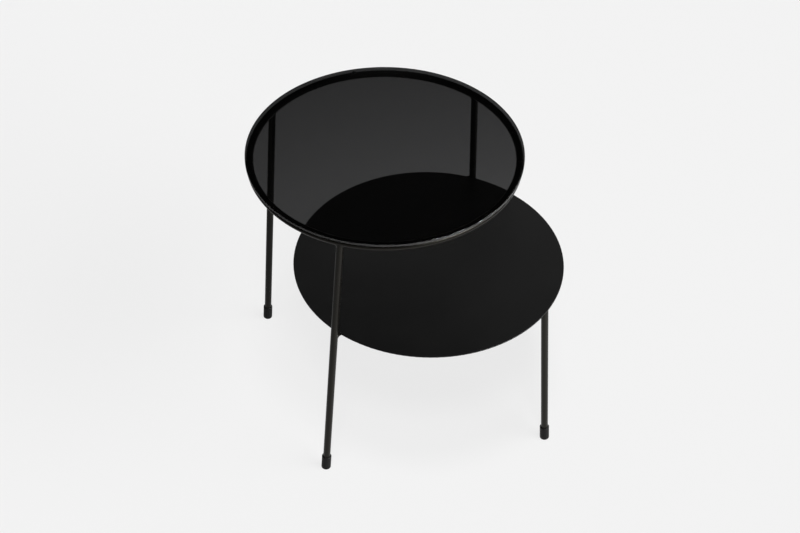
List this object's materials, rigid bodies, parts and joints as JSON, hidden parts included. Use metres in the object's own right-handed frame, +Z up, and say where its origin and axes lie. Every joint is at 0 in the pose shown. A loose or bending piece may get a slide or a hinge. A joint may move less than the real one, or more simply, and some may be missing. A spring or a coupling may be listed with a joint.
{
  "type": "two-tier side table",
  "caption": "Round two-tier side table: smoked glass top on a thin tube ring, offset metal shelf below, slim splayed tube legs with foot caps.",
  "frame": {"origin": "on the floor, midway between the four feet, under the middle of the whole outline", "axes": "+X from the left foot (under the top's side only) to the right foot (under the shelf only), +Y to the back foot, +Z up"},
  "size_m": [0.5916, 0.5196, 0.502],
  "materials": {
    "smoked_glass": "polished dark smoked tempered glass",
    "frame_coat": "satin black powder coat on round steel tube",
    "shelf_coat": "fine-texture satin black powder coat on steel sheet",
    "cap_plastic": "matte black moulded plastic",
    "clear_pad": "clear soft elastomer"
  },
  "bodies": {
    "frame": {"top_ring": "frame_coat", "shelf": "shelf_coat", "leg_left": "frame_coat", "leg_front": "frame_coat", "leg_back": "frame_coat", "leg_right": "frame_coat", "foot_cap_left": "cap_plastic", "foot_cap_front": "cap_plastic", "foot_cap_back": "cap_plastic", "foot_cap_right": "cap_plastic", "glass_pad_1": "clear_pad", "glass_pad_2": "clear_pad", "glass_pad_3": "clear_pad", "glass_pad_4": "clear_pad", "weld_ring_left": "frame_coat", "weld_ring_front": "frame_coat", "weld_ring_back": "frame_coat", "weld_shelf_front": "frame_coat", "weld_shelf_back": "frame_coat", "weld_shelf_right": "frame_coat"},
    "top_glass": {"glass_top": "smoked_glass"}
  },
  "joints": [
    {"name": "glass_lift", "type": "slide", "parent": "frame", "child": "top_glass", "axis": [0, 0, 1], "range_m": [0, 0.06]}
  ]
}
